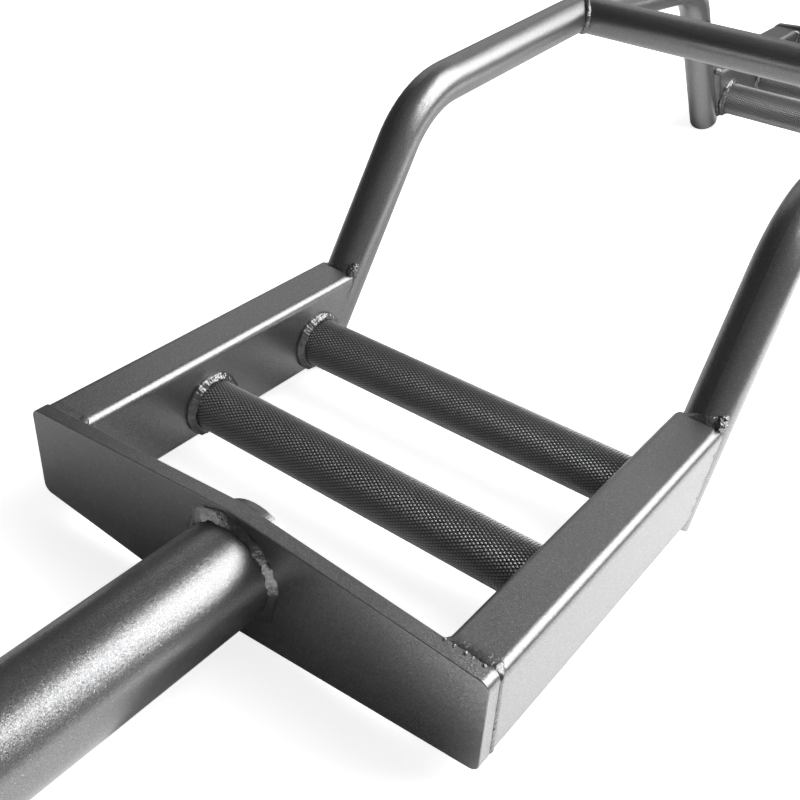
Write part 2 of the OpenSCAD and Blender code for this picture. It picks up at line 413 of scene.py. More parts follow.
@dataclass(frozen=True)
class CoatFinish:
    """A metallic powder coat over one kind of surface."""

    name: str
    tone: tuple[float, float, float]
    metallic: float
    roughness: float
    flake_scale: float = 3200.0
    flake_tilt: float = 0.13
    flake_tone: float = 0.3
    spark: float = 1.0
    peel_scale: float = 850.0
    peel_height: float = 0.025 * MM
    # Whether the tone takes the knurl's painted groove shade and painted tip highlight.
    worn: bool = False

    @property
    def knobs(self) -> dict[str, float]:
        """The flake group's inputs."""
        names = ("flake_scale", "flake_tilt", "flake_tone", "spark", "peel_scale", "peel_height")
        return {name.replace("_", " ").title(): getattr(self, name) for name in names}

    def make(self, flakes: Tree, knurl_shading: Tree) -> Material:
        """Build the material.

        Args:
            flakes: The shared flake group.
            knurl_shading: The group whose Painted Light output scales a knurl's tone with painted
                groove shade and a painted tip highlight.

        Returns:
            The new material.
        """
        material, pen = open_material(self.name)
        coat = pen.add("ShaderNodeGroup", self.knobs, node_tree=flakes).outputs
        shade = coat["Tone"]
        # A knurl's tone is multiplied by painted shade in its grooves and a painted highlight on
        # its tips.
        if self.worn:
            grip = pen.add("ShaderNodeGroup", node_tree=knurl_shading)
            shade = pen.maths("MULTIPLY", shade, grip.outputs["Wear"])
        inputs = {
            "Base Color": pen.vectors("SCALE", "Vector", self.tone, Scale=shade),
            "Metallic": self.metallic,
            "Roughness": pen.maths("ADD", coat["Gloss"], self.roughness),
            "Normal": coat["Normal"],
        }
        shader = pen.add("ShaderNodeBsdfPrincipled", inputs)
        pen.add("ShaderNodeOutputMaterial", {"Surface": shader.outputs["BSDF"]})
        return material


@dataclass(frozen=True)
class CapFinish:
    """Black moulded plastic with a fine spark-eroded grain."""

    tone: tuple[float, float, float] = (0.018, 0.018, 0.02)
    roughness: tuple[float, float] = (0.42, 0.58)
    grain_scale: float = 1800.0
    grain_detail: float = 3.0
    grain_height: float = 0.08 * MM
    grain_share: float = 0.5

    def make(self) -> Material:
        """Build the material.

        Returns:
            The new material.
        """
        material, pen = open_material("Moulded cap")
        place = pen.add("ShaderNodeTexCoord").outputs["Object"]
        skin = {"Vector": place, "Scale": self.grain_scale, "Detail": self.grain_detail}
        grain = pen.add("ShaderNodeTexNoise", skin).outputs["Fac"]
        relief = {"Strength": self.grain_share, "Distance": self.grain_height, "Height": grain}
        inputs = {
            "Base Color": (*self.tone, 1.0),
            "Roughness": pen.remap(grain, UNIT, self.roughness),
            "Normal": pen.add("ShaderNodeBump", relief).outputs["Normal"],
        }
        shader = pen.add("ShaderNodeBsdfPrincipled", inputs)
        pen.add("ShaderNodeOutputMaterial", {"Surface": shader.outputs["BSDF"]})
        return material


COATS = {
    Slot.COAT: CoatFinish("Dark silver coat", (0.28, 0.28, 0.283), metallic=0.85, roughness=0.3),
    # The knurl's tone is scaled by painted shade in its grooves and a painted highlight on its
    # tips.
    Slot.KNURL: CoatFinish(
        "Coated knurl",
        (0.42, 0.42, 0.423),
        metallic=0.85,
        roughness=0.42,
        flake_tilt=0.08,
        flake_tone=0.15,
        spark=0.5,
        worn=True,
    ),
    Slot.WELD: CoatFinish(
        "Coated weld",
        (0.22, 0.22, 0.223),
        metallic=0.95,
        roughness=0.28,
        flake_tilt=0.2,
        peel_scale=900.0,
        peel_height=0.12 * MM,
    ),
}


class Finishes:
    """All the materials of the bar, built once."""

    def __init__(self) -> None:
        """Build the shared groups and the four materials."""
        flakes = FlakeLayer().make(COATS[Slot.COAT].knobs)
        knurl_shading = GripWear().make()
        self.materials = {slot: finish.make(flakes, knurl_shading) for slot, finish in COATS.items()}
        self.materials[Slot.CAP] = CapFinish().make()

    def coat(self, obj: Object, slot: Slot) -> None:
        """Give all faces of an object the material of a slot."""
        obj.data.materials.clear()
        obj.data.materials.append(self.materials[slot])

    def hand_over(self, piece: Object, slot: Slot, node: str) -> None:
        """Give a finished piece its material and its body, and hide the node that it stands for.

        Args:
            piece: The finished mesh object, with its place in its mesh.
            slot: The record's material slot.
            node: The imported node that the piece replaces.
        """
        self.coat(piece, slot)
        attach(piece, BODY)
        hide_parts(node)
        triangles = sum(len(polygon.vertices) - 2 for polygon in piece.data.polygons)
        log.info("%s: %d triangles", piece.name, triangles)


# Knurled grips


@dataclass(frozen=True)
class KnurledGrip:
    """A round grip with a diamond knurl, cut by two crossing sets of 30 degree helices."""

    starts: int = 48
    rows: int = 63
    tip: float = 0.16
    peak: float = 1.0
    weld_within: float = 0.02 * MM
    end_within: float = 1e-6

    def build(self, name: str, x: float) -> Object:
        """Model one grip from rail to rail.

        The knurl is a flat sheet of diamonds first. A grid is thinned to its diagonals, each
        diamond is poked up to a pyramid, the tips are worn flat, and the sheet is then rolled
        round the grip's axis.

        Args:
            name: The piece's name.
            x: The grip's place along the bar.

        Returns:
            The finished mesh object.
        """
        clear_selection()
        bpy.ops.mesh.primitive_grid_add(
            x_subdivisions=2 * self.starts, y_subdivisions=2 * self.rows, size=1
        )
        grip = named(name)
        grip.scale = (2 * math.pi, 2 * PLAN.rail_in_y / MM, 1)
        apply_place(grip)
        with editing(grip):
            bpy.ops.mesh.unsubdivide(iterations=1)
            bpy.ops.mesh.select_all(action="SELECT")
            bpy.ops.mesh.poke(offset=self.peak)
        select_points(grip, lambda point: point.z > self.peak / 2)
        with editing(grip, whole=False):
            bpy.ops.mesh.bevel(
                affect="VERTICES", offset_type="PERCENT", offset_pct=100 * self.tip, segments=1
            )
        self.roll(grip, x)
        merge(grip, self.weld_within)
        self.close_ends(grip)
        bpy.ops.object.shade_flat()
        return grip

    def roll(self, grip: Object, x: float) -> None:
        """Roll the flat sheet round the grip's axis.

        Args:
            grip: The sheet, with the angle along X, millimetres along Y and the cut's share of
                its depth along Z.
            x: The grip's place along the bar.
        """
        valley = PLAN.handle_r - PLAN.knurl_depth
        for vertex in grip.data.vertices:
            angle, along, height = vertex.co
            radius = valley + PLAN.knurl_depth * min(self.peak, max(0.0, height))
            vertex.co = (
                x + radius * math.sin(angle),
                along * MM,
                PLAN.handle_z + radius * math.cos(angle),
            )

    def close_ends(self, grip: Object) -> None:
        """Close both ends, which butt on the rails.

        Args:
            grip: The rolled sheet.
        """
        for end in (-PLAN.rail_in_y, PLAN.rail_in_y):
            select_points(grip, lambda point, end=end: abs(point.y - end) < self.end_within)
            with editing(grip, whole=False):
                bpy.ops.mesh.edge_face_add()
        merge(grip, self.end_within / 10)


# Weld beads


@dataclass(frozen=True)
class Seat:
    """One cross-section of a bead: its two toes, and how far it stands out and sinks in."""

    start: Vector
    end: Vector
    rise: Vector
    sink: Vector


@dataclass(frozen=True)
class Bead:
    """A bead of weld round a closed seam, with ripples, a torn edge, lumps and grit."""

    ripple: float = 0.16 * MM
    pitch: float = 2.1 * MM
    ridge: float = 0.0
    torn: float = 0.35 * MM
    tear: float = 2.4 * MM
    fine_tear: float = 0.4
    fine_step: float = 2.3
    shoulder: float = 1.05
    root_shoulder: float = 0.8
    swell: float = 0.35
    swell_size: float = 6 * MM
    bow: float = 0.6
    lumps: float = 0.7 * MM
    lump_size: float = 2.6 * MM
    grit: float = 0.3 * MM
    grit_size: float = 0.8 * MM
    seed: int = 1
    seed_step: float = 17.0
    around: int = 20
    weld_within: float = 1e-6

    def lay(self, name: str, seats: Sequence[Seat]) -> Object:
        """Lay the bead through its seats.

        Args:
            name: The bead's name.
            seats: The cross-sections in order, about half a millimetre apart.

        Returns:
            The bead as a closed mesh object at the origin.
        """
        clear_selection()
        bpy.ops.mesh.primitive_torus_add(major_segments=len(seats), minor_segments=self.around)
        bead = named(name)
        steps = [
            (seats[(i + 1) % len(seats)].start - seat.start).length
            for i, seat in enumerate(seats)
        ]
        length = sum(steps)
        waves = max(1, round(length / self.pitch)) / length
        run = 0.0
        for index, seat in enumerate(seats):
            ring = bead.data.vertices[index * self.around : (index + 1) * self.around]
            for vertex, place in zip(ring, self.section(seat, run * waves)):
                vertex.co = place
            run += steps[index]
        merge(bead, self.weld_within)
        displace(bead, f"{name} lumps", self.lump_size, self.lumps)
        displace(bead, f"{name} grit", self.grit_size, self.grit)
        bpy.ops.object.shade_smooth()
        return bead

    def section(self, seat: Seat, wave: float) -> list[Vector]:
        """Points round one cross-section, from one toe over the bead and back below it.

        Args:
            seat: Where the cross-section lies.
            wave: How many ripples lie behind it.

        Returns:
            The points.
        """
        half = (seat.start - seat.end) / 2
        mid = (seat.start + seat.end) / 2
        away = Vector((self.seed_step * self.seed, 0, 0))
        edge = noise.noise(mid / self.tear + away)
        edge += self.fine_tear * noise.noise(self.fine_step * mid / self.tear - away)
        half = half * (1 + self.torn * edge / half.length)
        swell = 1 + self.swell * noise.noise(mid / self.swell_size + 2 * away)
        out = seat.rise.normalized()
        points = []
        for step in range(self.around):
            turn = 2 * math.pi * step / self.around
            height = math.sin(turn)
            if height >= 0:
                across = turn / math.pi
                bow = self.bow * (2 * across - 1) ** 2
                texture = self.ripple * math.sin(2 * math.pi * (wave + bow))
                texture -= self.ridge * math.cos(4 * math.pi * across)
                proud = seat.rise * height**self.shoulder * swell + out * texture * height
            else:
                proud = seat.sink * abs(height) ** self.root_shoulder
            points.append(mid + half * math.cos(turn) + proud)
        return points


@dataclass(frozen=True)
class Swelling:
    """A stretch of a round bead that reaches further over the face."""

    angle: float
    extra: float
    spread: float


SEAT_STEP = 0.55 * MM


@dataclass(frozen=True)
class RoundSeam:
    """The corner of a round bar with a flat face, which the bar's axis meets square.

    The bead's toe on the bar follows the swellings of its toe on the face by a share only.
    """

    centre: Vector
    along: Vector
    radius: float
    face_reach: float
    bar_reach: float
    bulge: float = 0.25
    follow: float = 0.2
    root: float = 0.9
    root_reach: float = 4 * MM
    least_reach: float = 0.8 * MM
    swellings: tuple[Swelling, ...] = ()
    low_edge: float = -1.0

    def seats(self) -> list[Seat]:
        """Cross-sections right round the bar.

        Returns:
            The seats.
        """
        up = Vector((0, 0, 1))
        side = up.cross(self.along)
        count = int(2 * math.pi * self.radius / SEAT_STEP)
        seats = []
        for step in range(count):
            angle = 360 * step / count
            turn = math.radians(angle)
            out = math.cos(turn) * side + math.sin(turn) * up
            reach = self.reach_at(angle, out.z)
            corner = self.centre + self.radius * out
            high = self.bar_reach * (1 - self.follow + self.follow * reach / self.face_reach)
            skew = (out * high + self.along * reach).normalized()
            rise = skew * self.bulge * (high + reach) / 2
            sink = skew * -self.root * min(reach, self.root_reach)
            seats.append(Seat(corner + out * reach, corner + self.along * high, rise, sink))
        return seats

    def reach_at(self, angle: float, rise: float) -> float:
        """How far the bead reaches over the face.

        Args:
            angle: Direction round the bar in degrees.
            rise: Share of that direction that points up.

        Returns:
            The reach in metres.
        """
        reach = self.face_reach
        for swelling in self.swellings:
            gap = (angle - swelling.angle + 180) % 360 - 180
            reach += swelling.extra * math.exp(-((gap / swelling.spread) ** 2))
        if rise < 0 < self.low_edge:
            room = (self.centre.z - self.low_edge) / -rise - self.radius
            reach = min(reach, max(room, self.least_reach))
        return reach


def rail_outline() -> list[tuple[Vector, Vector]]:
    """Points and outward normals round a rail's section, in one plane.

    Returns:
        Pairs of place and normal, about one seat's step apart, anticlockwise.
    """
    corner = PLAN.rail_r
    a, b = PLAN.rail_w / 2 - corner, PLAN.rail_h / 2 - corner
    hubs = [Vector((a, b)), Vector((-a, b)), Vector((-a, -b)), Vector((a, -b))]
    pairs = []
    for index, hub in enumerate(hubs):
        ahead = hubs[(index + 1) % len(hubs)]
        bends = int(corner * math.pi / 2 / SEAT_STEP)
        straight = int((ahead - hub).length / SEAT_STEP)
        run = [(hub, index + i / bends) for i in range(bends)]
        run += [(hub.lerp(ahead, i / straight), index + 1) for i in range(straight)]
        for place, quarters in run:
            turn = quarters * math.pi / 2
            normal = Vector((math.cos(turn), math.sin(turn)))
            pairs.append((place + corner * normal, normal))
    return pairs


@dataclass(frozen=True)
class RailSeam:
    """The seam between a rail's outer end and the end plate.

    The bead is a fillet inside the box and a low mound elsewhere.
    """

    side: Side
    edge: int
    proud: float = 1.0
    plate_toe: float = 0.9 * MM
    plate_toe_outer: float = -0.6 * MM
    rail_toe: float = 3.6 * MM
    rail_toe_upper: float = 4.0 * MM
    rail_toe_outer: float = -0.8 * MM
    stand: float = 0.5 * MM
    stand_upper: float = 0.1 * MM
    stand_outer: float = 0.3 * MM
    fillet_reach: float = 2.8 * MM
    fillet_stand: float = 0.5 * MM
    plate_bite: float = 0.25 * MM
    rail_bite: float = 0.15 * MM
    root: float = 1.8 * MM

    def seats(self) -> list[Seat]:
        """Cross-sections round the rail.

        Returns:
            The seats.
        """
        along = Vector((-self.side.value, 0, 0))
        plate_x = self.side.value * PLAN.plate_in_x
        rail_mid_z = PLAN.rail_low_z + PLAN.rail_h / 2
        seats = []
        for place, normal in rail_outline():
            out = Vector((0, self.edge * normal.x, normal.y))
            y = self.edge * (PLAN.rail_y + place.x)
            skin = Vector((plate_x, y, rail_mid_z + place.y))
            inner = max(0.0, -normal.x) ** 2
            upper = max(0.0, normal.y) ** 2
            outer = max(0.0, normal.x) ** 2
            near = (self.plate_toe + self.plate_toe_outer * outer) * (1 - inner)
            far = self.rail_toe + self.rail_toe_upper * upper + self.rail_toe_outer * outer
            stand = (self.stand + self.stand_upper * upper + self.stand_outer * outer) * self.proud
            stand += self.fillet_stand * inner
            lift = self.fillet_reach * inner - self.plate_bite * (1 - inner)
            start = skin + along * near + out * lift
            end = skin + along * far - out * self.rail_bite
            lean = (out + along * inner).normalized()
            seats.append(Seat(start, end, lean * stand, lean * -self.root))
        return seats


@dataclass(frozen=True)
class FootSeam:
    """The seam between a rail's slanting end and the leg, heaviest at its upper front corner."""

    side: Side
    edge: int
    rail_toe: float = 1.7 * MM
    rail_bite: float = 0.2 * MM
    leg_bite: float = 0.5 * MM
    ramp: float = 1.8 * MM
    climb: float = 6.5 * MM
    lean: float = 0.5
    stand: float = 0.7 * MM
    stand_upper: float = -0.35 * MM
    root: float = 2.2 * MM

    def seats(self) -> list[Seat]:
        """Cross-sections round the rail's end, mirrored from the right rear corner.

        Returns:
            The seats.
        """
        slant = (PLAN.end_low_x - PLAN.end_top_x) / PLAN.rail_h
        mirror = Vector((self.side.value, self.edge, 1))
        seats = []
        for place, normal in rail_outline():
            rise = PLAN.rail_h / 2 + place.y
            x = PLAN.end_low_x - rise * slant
            edge = Vector((x, PLAN.rail_y + place.x, PLAN.rail_low_z + rise))
            out = Vector((0, normal.x, normal.y))
            upper = max(0.0, normal.y)
            front = 0.5 - self.edge * place.x / PLAN.rail_w
            heavy = upper**2 * front
            back = Vector((self.rail_toe + self.ramp * heavy, 0, 0))
            start = edge + back - out * self.rail_bite
            end = self.on_leg(edge, self.climb * heavy)
            lean = (out - Vector((self.lean, 0, 0))).normalized()
            stand = self.stand + self.stand_upper * upper
            parts = (start, end, lean * stand, lean * -self.root)
            seats.append(Seat(*(part * mirror for part in parts)))
        return seats

    def on_leg(self, place: Vector, climb: float) -> Vector:
        """Nearest place just inside the leg's skin.

        Args:
            place: A place near the leg.
            climb: How far up the leg to move.

        Returns:
            The place on the leg.
        """
        axis = Vector((-math.sin(PLAN.leg_lean), 0, math.cos(PLAN.leg_lean)))
        foot = Vector((PLAN.leg_x, PLAN.arch_y, PLAN.rail_low_z))
        centre = foot + axis * (place - foot).dot(axis)
        out = (place - centre).normalized()
        return centre + axis * climb + out * (PLAN.tube_r - self.leg_bite)


@dataclass(frozen=True)
class SaddleSeam:
    """The seam between an end of the cross tube and the arch tube that it is saddled on.

    The bead is a fillet at the saddle's flanks and a low mound at its tips.
    """

    edge: int
    step: float = 0.5 * MM
    arch_toe: float = 0.3 * MM
    arch_toe_flank: float = 2.9 * MM
    tip_back: float = 2.6 * MM
    tube_toe: float = 3.2 * MM
    stand: float = 0.9 * MM
    stand_flank: float = 0.3 * MM
    root: float = 2.0 * MM

    def seats(self) -> list[Seat]:
        """Cross-sections round the cross tube.

        Returns:
            The seats.
        """
        count = int(2 * math.pi * PLAN.tube_r / self.step)
        inward = Vector((0, -self.edge, 0))
        seats = []
        for step in range(count):
            turn = 2 * math.pi * step / count
            out = Vector((math.cos(turn), 0, math.sin(turn)))
            flank = abs(out.x)
            y = self.edge * (PLAN.arch_y - PLAN.tube_r * flank)
            corner = out * PLAN.tube_r + Vector((0, y, PLAN.apex_z))
            reach = (self.arch_toe + self.arch_toe_flank * flank) * flank
            start = corner + out * reach - inward * self.tip_back * (1 - flank)
            rise = (out + inward * flank).normalized()
            stand = self.stand + self.stand_flank * flank
            end = corner + inward * self.tube_toe
            seats.append(Seat(start, end, rise * stand, rise * -self.root))
        return seats


@dataclass(frozen=True)
class Drop:
    """A rough drop or lump of weld metal."""

    radius: float
    shape: tuple[float, float, float]
    relief: float
    grain: float
    cuts: int
    tilt: float = 0.0

    def fall(self, name: str, place: Vector) -> Object:
        """Model the drop.

        Args:
            name: The drop's name.
            place: Its centre.

        Returns:
            The drop as a closed mesh object at the origin.
        """
        bpy.ops.mesh.primitive_ico_sphere_add(
            subdivisions=self.cuts,
            radius=self.radius,
            location=place,
            rotation=(self.tilt, 0, 0),
            scale=self.shape,
        )
        drop = named(name)
        apply_place(drop)
        displace(drop, f"{name} grit", self.grain, self.relief)
        bpy.ops.object.shade_smooth()
        return drop


@dataclass(frozen=True)
class Spatter:
    """Drops that stick to the end plate's upper inner edge, beside a rail."""

    drops: int = 5
    start: float = 2.5 * MM
    pitch: float = 4.6 * MM
    stray: float = 2 * MM
    radius: float = 1.05 * MM
    radius_stray: float = 0.6 * MM
    depth: float = 0.8 * MM
    seed_step: float = 0.37
    drop_step: float = 1.7
    off_grid: float = 0.5

    def spread(self, side: Side, edge: int, seed: int) -> list[Object]:
        """Model the drops.

        Args:
            side: Which half of the bar.
            edge: Which rail, by the sign of its Y.
            seed: Seed for the drops' places and sizes.

        Returns:
            The drops.
        """
        drops = []
        for step in range(self.drops):
            where = (self.seed_step * seed, self.drop_step * step, self.off_grid)
            chance = noise.noise(Vector(where))
            y = PLAN.rail_in_y + self.start + self.pitch * step + self.stray * chance
            top = PLAN.plate_end_z + (PLAN.frame_half_w - y) * PLAN.plate_fall
            drop = Drop(
                self.radius + self.radius_stray * chance,
                shape=(1, 0.9, 0.5),
                relief=0.7 * MM,
                grain=0.5 * MM,
                cuts=3,
                tilt=math.radians(32),
            )
            place = Vector((side.value * (PLAN.plate_in_x + self.depth), edge * y, top))
            drops.append(drop.fall(f"{side.word}_spatter_{seed}_{step}", place))
        return drops


@dataclass(frozen=True)
class FootLump:
    """A lump on a foot's bead, near the upper front corner of the rail's end."""

    past: float
    inset: float
    rise: float
    radius: float

    def model(self, name: str, side: Side, edge: int) -> Object:
        """Model the lump.

        Args:
            name: The lump's name.
            side: Which half of the bar.
            edge: Which rail, by the sign of its Y.

        Returns:
            The lump.
        """
        x = side.value * (PLAN.end_top_x - self.past)
        y = edge * PLAN.rail_y - PLAN.rail_w / 2 + self.inset
        place = Vector((x, y, PLAN.rail_low_z + PLAN.rail_h + self.rise))
        drop = Drop(self.radius, shape=(1.2, 1, 0.9), relief=1.7 * MM, grain=1.8 * MM, cuts=5)
        return drop.fall(name, place)


FOOT_LUMPS = (
    FootLump(past=1.0 * MM, inset=2.6 * MM, rise=0.8 * MM, radius=3.4 * MM),
    FootLump(past=4.2 * MM, inset=3.4 * MM, rise=2.4 * MM, radius=2.8 * MM),
)


@dataclass(frozen=True)
class WeldShop:
    """Lays all the beads of the bar and joins those of one node into one piece."""

    finishes: Finishes

    def join(self, stem: str, beads: Sequence[Object]) -> None:
        """Join beads into one piece that stands for a weld node.

        Args:
            stem: The start of the piece's name and the node's, which end in the plural if there
                is more than one bead.
            beads: The beads.
        """
        plural = "s" if len(beads) > 1 else ""
        take(*beads)
        if plural:
            bpy.ops.object.join()
        piece = named(f"{stem}_bead{plural}")
        self.finishes.hand_over(piece, Slot.WELD, f"{stem}_weld{plural}")

    def shaft(self, side: Side) -> None:
        """Lay the beads round the shaft on both faces of the end plate.

        Args:
            side: Which half of the bar.
        """
        s = side.value
        outward = Vector((s, 0, 0))
        outer = RoundSeam(
            Vector((s * PLAN.plate_out_x, 0, PLAN.shaft_z)),
            outward,
            PLAN.shaft_r,
            face_reach=3.8 * MM,
            bar_reach=2.8 * MM,
            bulge=0.08,
            swellings=(
                Swelling(128, 2.6 * MM, 20),
                Swelling(98, 2.0 * MM, 14),
                Swelling(-38, 2.6 * MM, 9),
            ),
        )
        inner = RoundSeam(
            Vector((s * PLAN.plate_in_x, 0, PLAN.shaft_z)),
            -outward,
            PLAN.shaft_r,
            face_reach=5.2 * MM,
            bar_reach=5.2 * MM,
        )
        flat = Bead(
            ripple=0, torn=1.6 * MM, tear=4.5 * MM, lumps=0.5 * MM, grit=0.12 * MM, seed=5 + s
        )
        beads = [
            flat.lay(f"{side.word}_shaft_bead", outer.seats()),
            Bead(seed=9 + s).lay(f"{side.word}_stub_bead", inner.seats()),
        ]
        self.join(f"{side.word}_shaft", beads)

    def collar(self, side: Side) -> None:
        """Lay the bead behind a collar.

        Args:
            side: Which half of the bar.
        """
        s = side.value
        seam = RoundSeam(
            Vector((s * PLAN.collar_in_x, 0, PLAN.shaft_z)),
            Vector((-s, 0, 0)),
            PLAN.shaft_r,
            face_reach=4.6 * MM,
            bar_reach=4.6 * MM,
        )
        bead = Bead(torn=0.2 * MM, seed=13 + s).lay(f"{side.word}_collar_bead", seam.seats())
        self.join(f"{side.word}_collar", [bead])

    def handles(self, side: Side) -> None:
        """Lay the beads round the ends of both grips.

        Args:
            side: Which half of the bar.
        """
        beads = []
        for index, x in enumerate(PLAN.handle_xs):
            for edge in (-1, 1):
                seam = RoundSeam(
                    Vector((side.value * x, edge * PLAN.rail_in_y, PLAN.handle_z)),
                    Vector((0, -edge, 0)),
                    PLAN.handle_r,
                    face_reach=3.6 * MM,
                    bar_reach=3.2 * MM,
                    bulge=0.34,
                    swellings=(Swelling(145, 2.0 * MM, 55),),
                    low_edge=PLAN.rail_low_z + 2 * MM,
                )
                bead = Bead(
                    ripple=0.22 * MM,
                    ridge=0.3 * MM,
                    lumps=1.3 * MM,
                    grit=0.75 * MM,
                    seed=20 + 4 * index + 2 * edge + side.value,
                )
                beads.append(bead.lay(f"{side.word}_grip_bead_{len(beads)}", seam.seats()))
        self.join(f"{side.word}_handle", beads)

    def rails(self, side: Side) -> None:
        """Lay the beads round both rails' outer ends, rough at the front and smooth at the rear.

        Args:
            side: Which half of the bar.
        """
        beads = []
        for edge, rough in ((-1, 1.0), (1, 0.35)):
            seed = 40 + 3 * edge + side.value
            bead = Bead(
                ripple=0.03 * MM,
                torn=0.9 * rough * MM,
                shoulder=1.2,
                lumps=0.45 * rough * MM,
                grit=0.25 * rough * MM,
                seed=seed,
            )
            seats = RailSeam(side, edge, proud=rough).seats()
            beads.append(bead.lay(f"{side.word}_rail_bead_{len(beads)}", seats))
            if edge < 0:
                beads.extend(Spatter().spread(side, edge, seed))
        self.join(f"{side.word}_rail", beads)

    def feet(self, side: Side) -> None:
        """Lay the beads between the rails' cut ends and the legs, with a few rough lumps.

        Args:
            side: Which half of the bar.
        """
        beads = []
        for edge in (-1, 1):
            bead = Bead(
                ripple=0.04 * MM,
                torn=0.8 * MM,
                lumps=0.6 * MM,
                grit=0.45 * MM,
                seed=60 + 3 * edge + side.value,
            )
            seats = FootSeam(side, edge).seats()
            beads.append(bead.lay(f"{side.word}_foot_bead_{len(beads)}", seats))
            for index, lump in enumerate(FOOT_LUMPS):
                beads.append(lump.model(f"{side.word}_foot_lump_{edge}_{index}", side, edge))
        self.join(f"{side.word}_foot", beads)

    def cross_tube(self) -> None:
        """Lay the beads round the saddled ends of the cross tube."""
        beads = []
        for edge in (-1, 1):
            bead = Bead(torn=0.5 * MM, lumps=0.8 * MM, grit=0.4 * MM, seed=80 + edge)
            beads.append(bead.lay(f"saddle_bead_{len(beads)}", SaddleSeam(edge).seats()))
        self.join("cross_tube", beads)


# End plates and carried-over tubes


@dataclass(frozen=True)
class SteelWork:
    """The flat and tubular steel of the bar."""

    finishes: Finishes
    flat_within: float = math.radians(0.5)
    smooth_within: float = math.radians(35)
    sharp_from: float = math.radians(50)
    broken_edge: float = 0.5 * MM
    weld_within: float = 2e-6

    def end_plate(self, side: Side) -> None:
        """Copy an end plate and break its sharp edges.

        Args:
            side: Which half of the bar.
        """
        node = f"{side.word}_end_plate"
        take(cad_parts[node])
        bpy.ops.object.duplicate(linked=False)
        plate = named(f"{side.word}_plate")
        plate.data = plate.data.copy()
        if plate.data.has_custom_normals:
            bpy.ops.mesh.customdata_custom_splitnormals_clear()
        apply_place(plate)
        merge(plate, self.weld_within)
        with editing(plate):
            bpy.ops.mesh.dissolve_limited(angle_limit=self.flat_within)
        bpy.ops.object.shade_smooth_by_angle(angle=self.smooth_within)
        apply_modifier(
            plate,
            "BEVEL",
            width=self.broken_edge,
            segments=3,
            limit_method="ANGLE",
            angle_limit=self.sharp_from,
            harden_normals=True,
        )
        self.finishes.hand_over(plate, Slot.COAT, node)

    def coat_nodes(self) -> None:
        """Give the nodes that keep their own mesh their finish."""
        for name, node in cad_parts.items():
            if not any(word in name for word in ("weld", "handle", "plate")):
                self.finishes.coat(node, Slot.CAP if name.endswith("end_cap") else Slot.COAT)
                log.info("%s: %s", name, node.data.materials[0].name)


# Studio


@dataclass(frozen=True)
class Softbox:
    """A square lamp that faces the bar."""

    name: str
    azimuth: float
    elevation: float
    size: float
    radiance: float
    distance: float

    def set_up(self, target: Vector) -> None:
        """Hang the lamp.

        Args:
            target: The point that it faces.
        """
        a, e = math.radians(self.azimuth), math.radians(self.elevation)
        out = Vector((math.cos(e) * math.cos(a), math.cos(e) * math.sin(a), math.sin(e)))
        bpy.ops.object.light_add(type="AREA", location=target + self.distance * out)
        lamp = named(self.name)
        lamp.rotation_euler = out.to_track_quat("Z", "Y").to_euler()
        lamp.data.shape = "SQUARE"
        lamp.data.size = self.size
        lamp.data.energy = self.radiance * math.pi * self.size**2


@dataclass(frozen=True)
class View:
    """The photograph's viewpoint."""

    eye: tuple[float, float, float] = (-0.745206, -0.263104, 0.382221)
    turn: tuple[float, float, float] = (55.23327, -2.873645, -52.532958)
    lens: float = 48.47417
    sensor: float = 36.0
    clip: tuple[float, float] = (0.01, 100.0)

    def set_up(self) -> None:
        """Place the camera."""
        bpy.ops.object.camera_add(
            location=self.eye, rotation=[math.radians(angle) for angle in self.turn]
        )
        camera = named("Camera")
        camera.data.sensor_fit = "HORIZONTAL"
        camera.data.sensor_width = self.sensor
        camera.data.lens = self.lens
        camera.data.clip_start, camera.data.clip_end = self.clip
        bpy.context.scene.camera = camera


